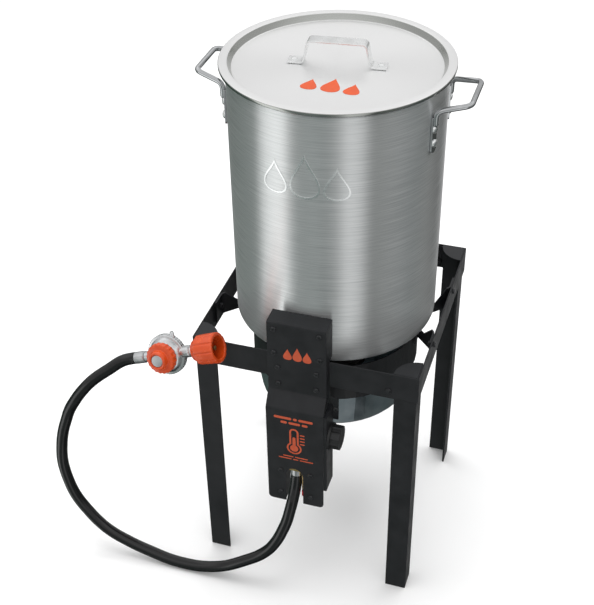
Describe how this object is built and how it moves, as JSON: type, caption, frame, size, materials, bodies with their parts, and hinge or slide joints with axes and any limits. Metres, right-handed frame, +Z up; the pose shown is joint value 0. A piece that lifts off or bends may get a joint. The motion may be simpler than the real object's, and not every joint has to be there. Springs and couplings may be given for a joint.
{
  "type": "outdoor brew kettle",
  "caption": "Tall lidded aluminium brew kettle with rod handles on a square black burner stand, with a wind guard, a control box and a gas hose ending in a regulator.",
  "frame": {"origin": "on the ground under the middle of the stand and its control box", "axes": "+Z up, -Y towards the control box at the front, +X to the right seen from the front"},
  "size_m": [0.5951, 0.4121, 0.8625],
  "materials": {
    "black_powder_coat": "satin powder coat",
    "spun_aluminium": "fine circumferential brushing",
    "chromed_rod": "polished",
    "zinc_plated_steel": "plain",
    "blackened_steel": "black oxide",
    "galvanised_steel": "smooth galvanised",
    "cast_iron": "as cast",
    "die_cast_zinc": "tumbled",
    "brass": "plain",
    "orange_plastic": "glossy",
    "red_plastic": "glossy",
    "black_plastic": "matt",
    "black_rubber": "satin"
  },
  "bodies": {
    "stand": {"frame_bar_front": "black_powder_coat", "frame_bar_back": "black_powder_coat", "frame_bar_left": "black_powder_coat", "frame_bar_right": "black_powder_coat", "leg_front_right": "black_powder_coat", "leg_front_left": "black_powder_coat", "leg_back_right": "black_powder_coat", "leg_back_left": "black_powder_coat", "corner_clip_front_right": "black_powder_coat", "corner_clip_front_left": "black_powder_coat", "corner_clip_back_right": "black_powder_coat", "corner_clip_back_left": "black_powder_coat", "frame_bolt_front_right": "blackened_steel", "frame_bolt_front_left": "blackened_steel", "frame_bolt_back_right": "blackened_steel", "frame_bolt_back_left": "blackened_steel", "kettle_bracket_left": "black_powder_coat", "kettle_bracket_right": "black_powder_coat", "bracket_bolt_left_front": "blackened_steel", "bracket_bolt_left_back": "blackened_steel", "bracket_bolt_right_front": "blackened_steel", "bracket_bolt_right_back": "blackened_steel", "guard_bolt_left": "blackened_steel", "guard_bolt_right": "blackened_steel", "wind_guard": "black_powder_coat", "burner_bowl": "galvanised_steel", "burner_head": "cast_iron", "venturi_tube": "zinc_plated_steel", "control_cover": "black_powder_coat", "valve_housing": "black_powder_coat", "housing_plate": "black_powder_coat", "sensor_plate": "black_powder_coat", "gas_valve": "brass", "gas_hose": "black_rubber", "hose_ferrule_valve": "zinc_plated_steel", "hose_ferrule_regulator": "zinc_plated_steel", "regulator_body": "die_cast_zinc", "tank_nipple": "brass"},
    "kettle": {"kettle_shell": "spun_aluminium", "kettle_handle_left": "chromed_rod", "kettle_handle_right": "chromed_rod", "handle_rivet_left_front_upper": "spun_aluminium", "handle_rivet_left_front_lower": "spun_aluminium", "handle_rivet_left_back_upper": "spun_aluminium", "handle_rivet_left_back_lower": "spun_aluminium", "handle_rivet_right_front_upper": "spun_aluminium", "handle_rivet_right_front_lower": "spun_aluminium", "handle_rivet_right_back_upper": "spun_aluminium", "handle_rivet_right_back_lower": "spun_aluminium"},
    "lid": {"lid_pan": "spun_aluminium", "lid_strap_handle": "spun_aluminium", "lid_rivet_left": "spun_aluminium", "lid_rivet_right": "spun_aluminium"},
    "shutter": {"air_shutter": "zinc_plated_steel"},
    "sensor": {"sensor_plunger": "zinc_plated_steel", "sensor_spring": "zinc_plated_steel"},
    "knob": {"control_knob": "black_plastic"},
    "button": {"reset_button": "red_plastic"},
    "dial": {"regulator_dial": "orange_plastic"},
    "nut": {"coupling_nut": "orange_plastic"}
  },
  "joints": [
    {"name": "kettle_lift", "type": "slide", "parent": "stand", "child": "kettle", "axis": [0, 0, 1], "range_m": [0, 0.2]},
    {"name": "lid_lift", "type": "slide", "parent": "kettle", "child": "lid", "axis": [0, 0, 1], "range_m": [0, 0.1]},
    {"name": "knob_turn", "type": "hinge", "parent": "stand", "child": "knob", "pos_m": [0.05, -0.167, 0.322], "axis": [1, 0, 0], "range_deg": [0, 270]},
    {"name": "reset_press", "type": "slide", "parent": "stand", "child": "button", "axis": [0, 0, 1], "range_m": [0, 0.003], "stiffness_N_per_m": 300, "springref_m": -0.001},
    {"name": "sensor_press", "type": "slide", "parent": "stand", "child": "sensor", "axis": [0, -1, 0], "range_m": [0, 0.0036], "stiffness_N_per_m": 200, "springref_m": -0.003},
    {"name": "shutter_turn", "type": "hinge", "parent": "stand", "child": "shutter", "pos_m": [0, -0.123, 0.262], "axis": [0, 1, 0], "range_deg": [0, 75]},
    {"name": "dial_turn", "type": "hinge", "parent": "stand", "child": "dial", "pos_m": [-0.201, -0.177, 0.428], "axis": [-0.1078, -0.9537, 0.2807], "range_deg": [0, 300]},
    {"name": "nut_spin", "type": "hinge", "parent": "stand", "child": "nut", "pos_m": [-0.201, -0.177, 0.428], "axis": [0.9336, 0, 0.3584], "continuous": true}
  ]
}
